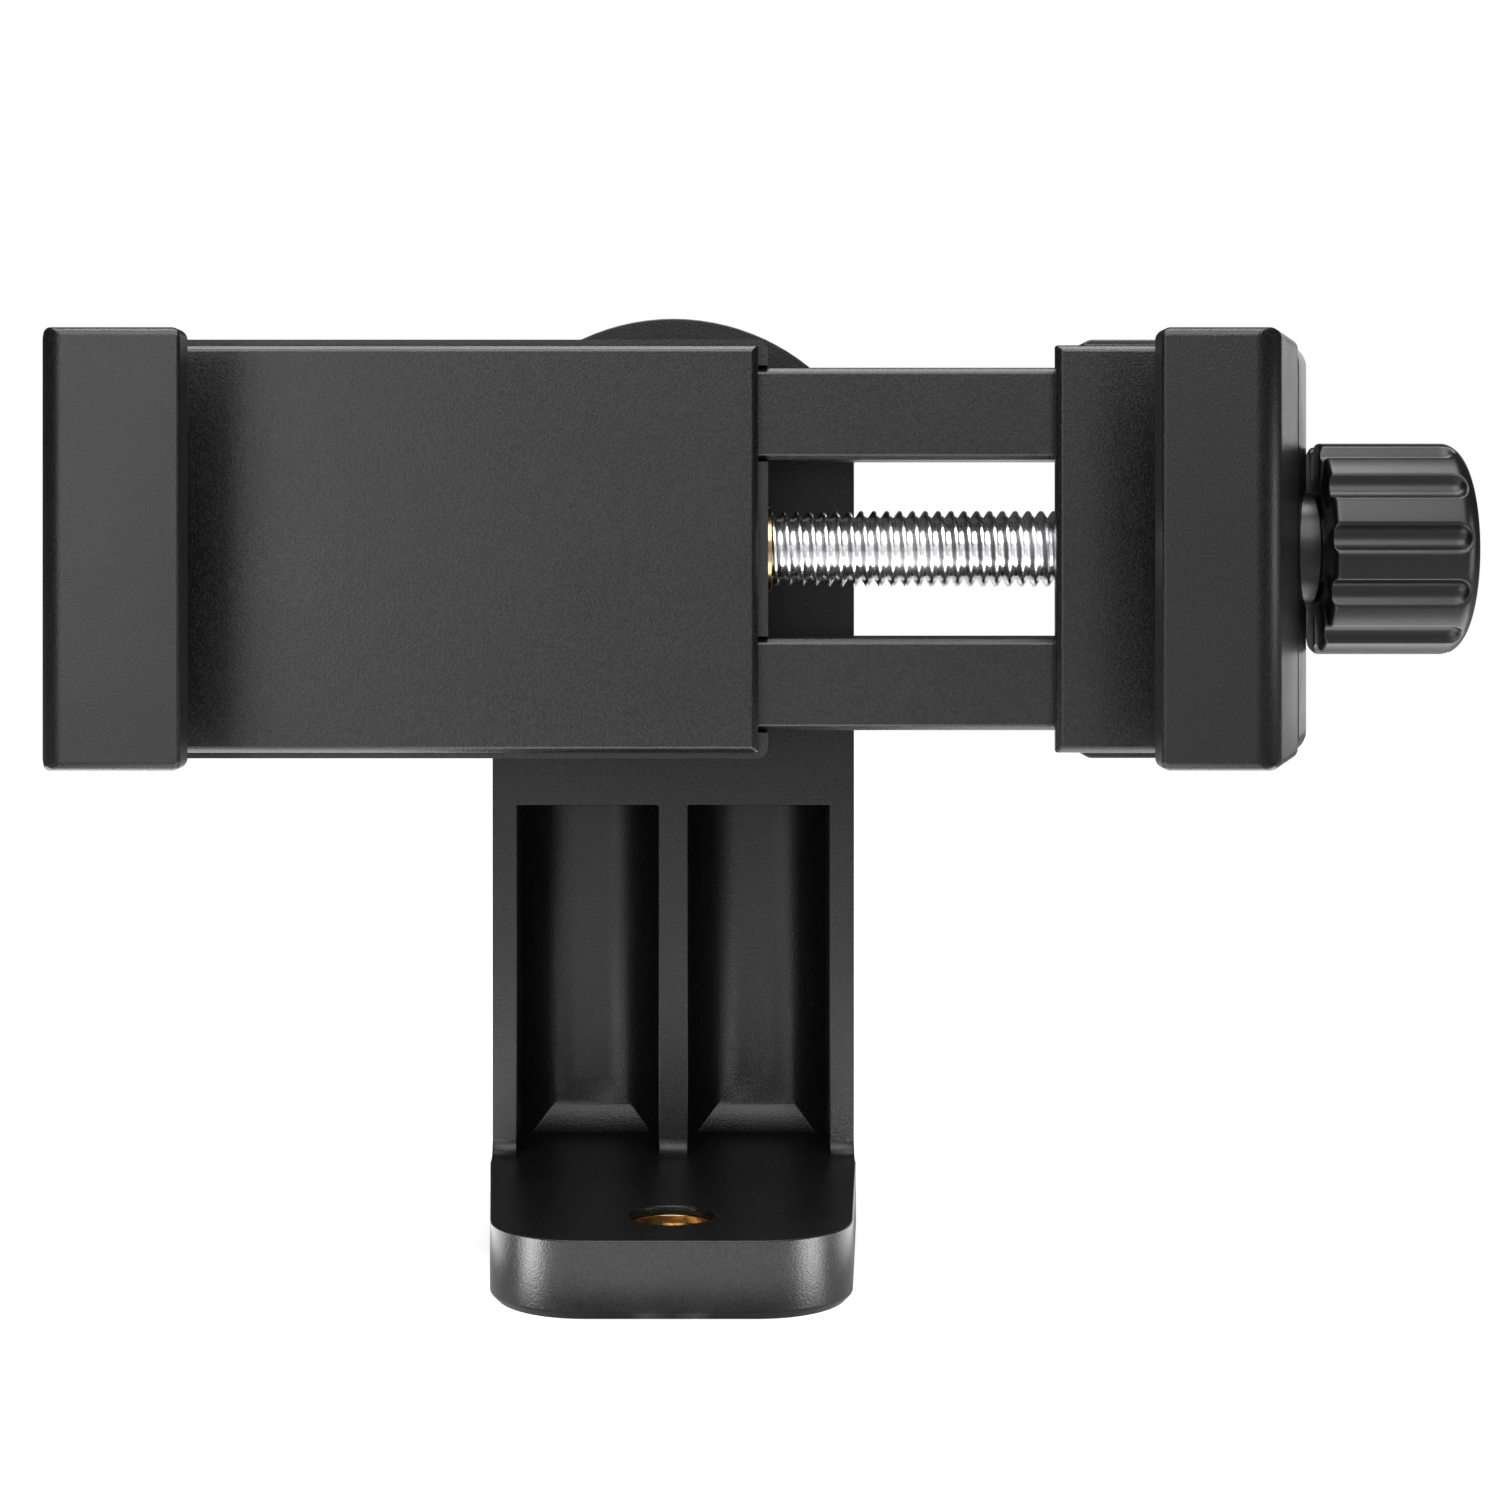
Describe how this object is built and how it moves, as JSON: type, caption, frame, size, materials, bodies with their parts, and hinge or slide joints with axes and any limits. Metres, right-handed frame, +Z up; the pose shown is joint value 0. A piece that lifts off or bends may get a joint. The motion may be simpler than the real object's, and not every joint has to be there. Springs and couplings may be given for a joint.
{
  "type": "tripod phone mount adapter",
  "caption": "Screw-driven sliding phone clamp that turns on an angle bracket with a tripod thread in its foot.",
  "frame": {"origin": "mouth of the tripod thread, in the foot's underside", "axes": "+X along the spindle towards the knob, -Y to the side that holds the phone, +Z up, out of the foot"},
  "size_m": [0.1064, 0.0423, 0.0732],
  "materials": {
    "bracket_plastic": "fine moulded grain, satin",
    "clamp_plastic": "fine moulded grain, satin",
    "gloss_black": "smooth, semi gloss",
    "grip_rubber": "soft, satin",
    "bright_steel": "bright plated",
    "plated_steel": "zinc plated",
    "brass": "turned",
    "black_fibre": "matt"
  },
  "bodies": {
    "bracket": {"bracket": "bracket_plastic", "tripod_bush": "brass"},
    "clamp": {"rear_shell": "clamp_plastic", "front_cover": "clamp_plastic", "left_grip": "grip_rubber", "spindle_nut": "brass", "friction_disc": "black_fibre", "pivot_insert": "brass", "pivot_washer": "plated_steel", "pivot_spring_washer": "plated_steel", "pivot_screw": "plated_steel"},
    "sliding_jaw": {"sliding_jaw": "clamp_plastic", "right_grip": "grip_rubber", "jaw_end_cap": "gloss_black", "spindle_bush": "black_fibre"},
    "spindle": {"spindle": "bright_steel", "spindle_knob": "gloss_black", "retaining_ring": "plated_steel", "thrust_washer": "plated_steel", "stop_clip": "plated_steel"}
  },
  "joints": [
    {"name": "head_turn", "type": "hinge", "parent": "bracket", "child": "clamp", "pos_m": [0, 0.0217, 0.0546], "axis": [0, 1, 0], "range_deg": [-225, 45]},
    {"name": "jaw_slide", "type": "slide", "parent": "clamp", "child": "sliding_jaw", "axis": [1, 0, 0], "range_m": [-0.0223, 0.0158]},
    {"name": "spindle_turn", "type": "hinge", "parent": "sliding_jaw", "child": "spindle", "pos_m": [0.04985, 0.013, 0.0546], "axis": [1, 0, 0], "range_deg": [-8040, 5700]}
  ],
  "couplings": [
    {"joint": "spindle_turn", "follows": "jaw_slide", "rad_per_m": 6283.2}
  ]
}
